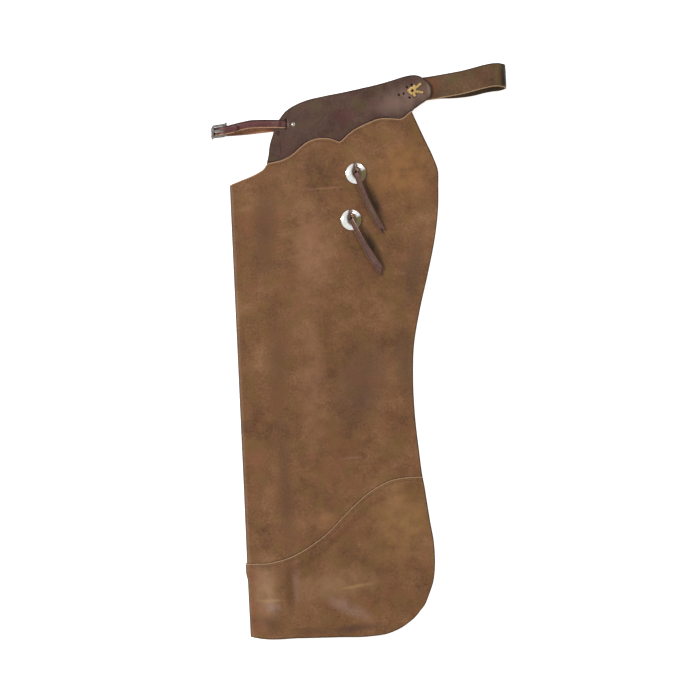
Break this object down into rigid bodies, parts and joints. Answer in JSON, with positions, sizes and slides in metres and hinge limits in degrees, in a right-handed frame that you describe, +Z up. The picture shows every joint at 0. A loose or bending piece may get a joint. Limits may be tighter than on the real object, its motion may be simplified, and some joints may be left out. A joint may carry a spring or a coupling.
{
  "type": "batwing chaps",
  "caption": "Leather batwing chaps folded leg on leg, with scalloped waist yokes, a back belt loop, a buckled front strap and slotted conchos on the thighs.",
  "frame": {"origin": "middle of the bounding box in plan, at the height of the ground it lies on", "axes": "+Y from the hem up to the waist, +X from the front fold to the free back edge, +Z up from the ground through both folded legs"},
  "size_m": [0.5416, 1.025, 0.041],
  "materials": {
    "leg_leather": "oiled, mottled",
    "yoke_leather": "dark, oiled",
    "belt_leather": "oiled, mottled",
    "strap_leather": "smooth",
    "string_leather": "soft",
    "tan_lace": "raw",
    "silver": "polished"
  },
  "bodies": {
    "root": {"left_upper_panel": "leg_leather", "left_lower_panel": "leg_leather", "left_yoke": "yoke_leather", "left_upper_concho": "silver", "left_lower_concho": "silver", "left_upper_string": "string_leather", "left_lower_string": "string_leather", "left_upper_leg_strap": "leg_leather", "left_lower_leg_strap": "leg_leather", "left_rivet": "silver", "left_lace": "tan_lace", "right_upper_panel": "leg_leather", "right_lower_panel": "leg_leather", "right_yoke": "yoke_leather", "right_upper_concho": "silver", "right_lower_concho": "silver", "right_upper_string": "string_leather", "right_lower_string": "string_leather", "right_upper_leg_strap": "leg_leather", "right_lower_leg_strap": "leg_leather", "right_rivet": "silver", "right_lace": "tan_lace", "back_belt": "belt_leather", "front_strap": "strap_leather", "front_billet": "strap_leather", "buckle": "silver", "buckle_prong": "silver"}
  },
  "joints": []
}
